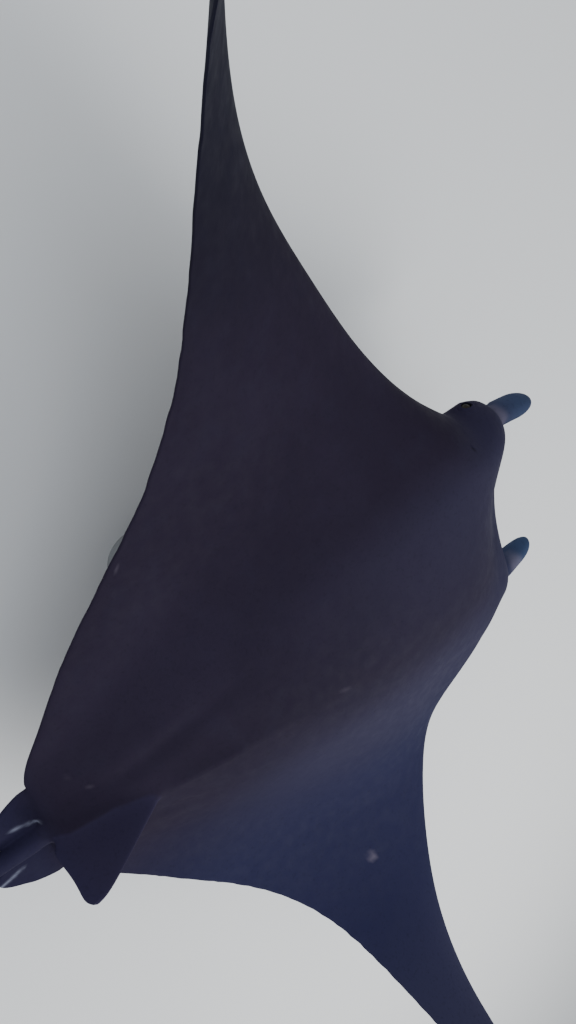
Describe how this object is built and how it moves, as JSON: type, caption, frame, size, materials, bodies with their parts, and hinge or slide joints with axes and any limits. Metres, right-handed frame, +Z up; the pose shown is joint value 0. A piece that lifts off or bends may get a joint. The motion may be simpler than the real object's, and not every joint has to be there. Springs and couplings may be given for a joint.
{
  "type": "manta ray model on a display stand",
  "caption": "Life-size black reef manta ray, gliding with both wings raised and horns furled, held level on a flat base by short rods.",
  "frame": {"origin": "middle of the underside of the stand's base", "axes": "+X to the animal's left, -Y forward along its body, +Z up"},
  "size_m": [3.0295, 3.3375, 1.2763],
  "materials": {
    "skin": "blue-black ray skin, finely rough, softly damp",
    "eye": "wet gloss",
    "base_paint": "matt grey powder coat",
    "rod_steel": "satin"
  },
  "bodies": {
    "root": {"head": "skin", "trunk": "skin", "wing_left": "skin", "wing_right": "skin", "cephalic_fin_left": "skin", "cephalic_fin_right": "skin", "pelvic_fin_left": "skin", "pelvic_fin_right": "skin", "dorsal_fin": "skin", "tail_base": "skin", "tail_middle": "skin", "tail_tip": "skin", "eye_left": "eye", "eye_right": "eye", "stand_base": "base_paint", "stand_rod_front": "rod_steel", "stand_rod_rear": "rod_steel"}
  },
  "joints": []
}
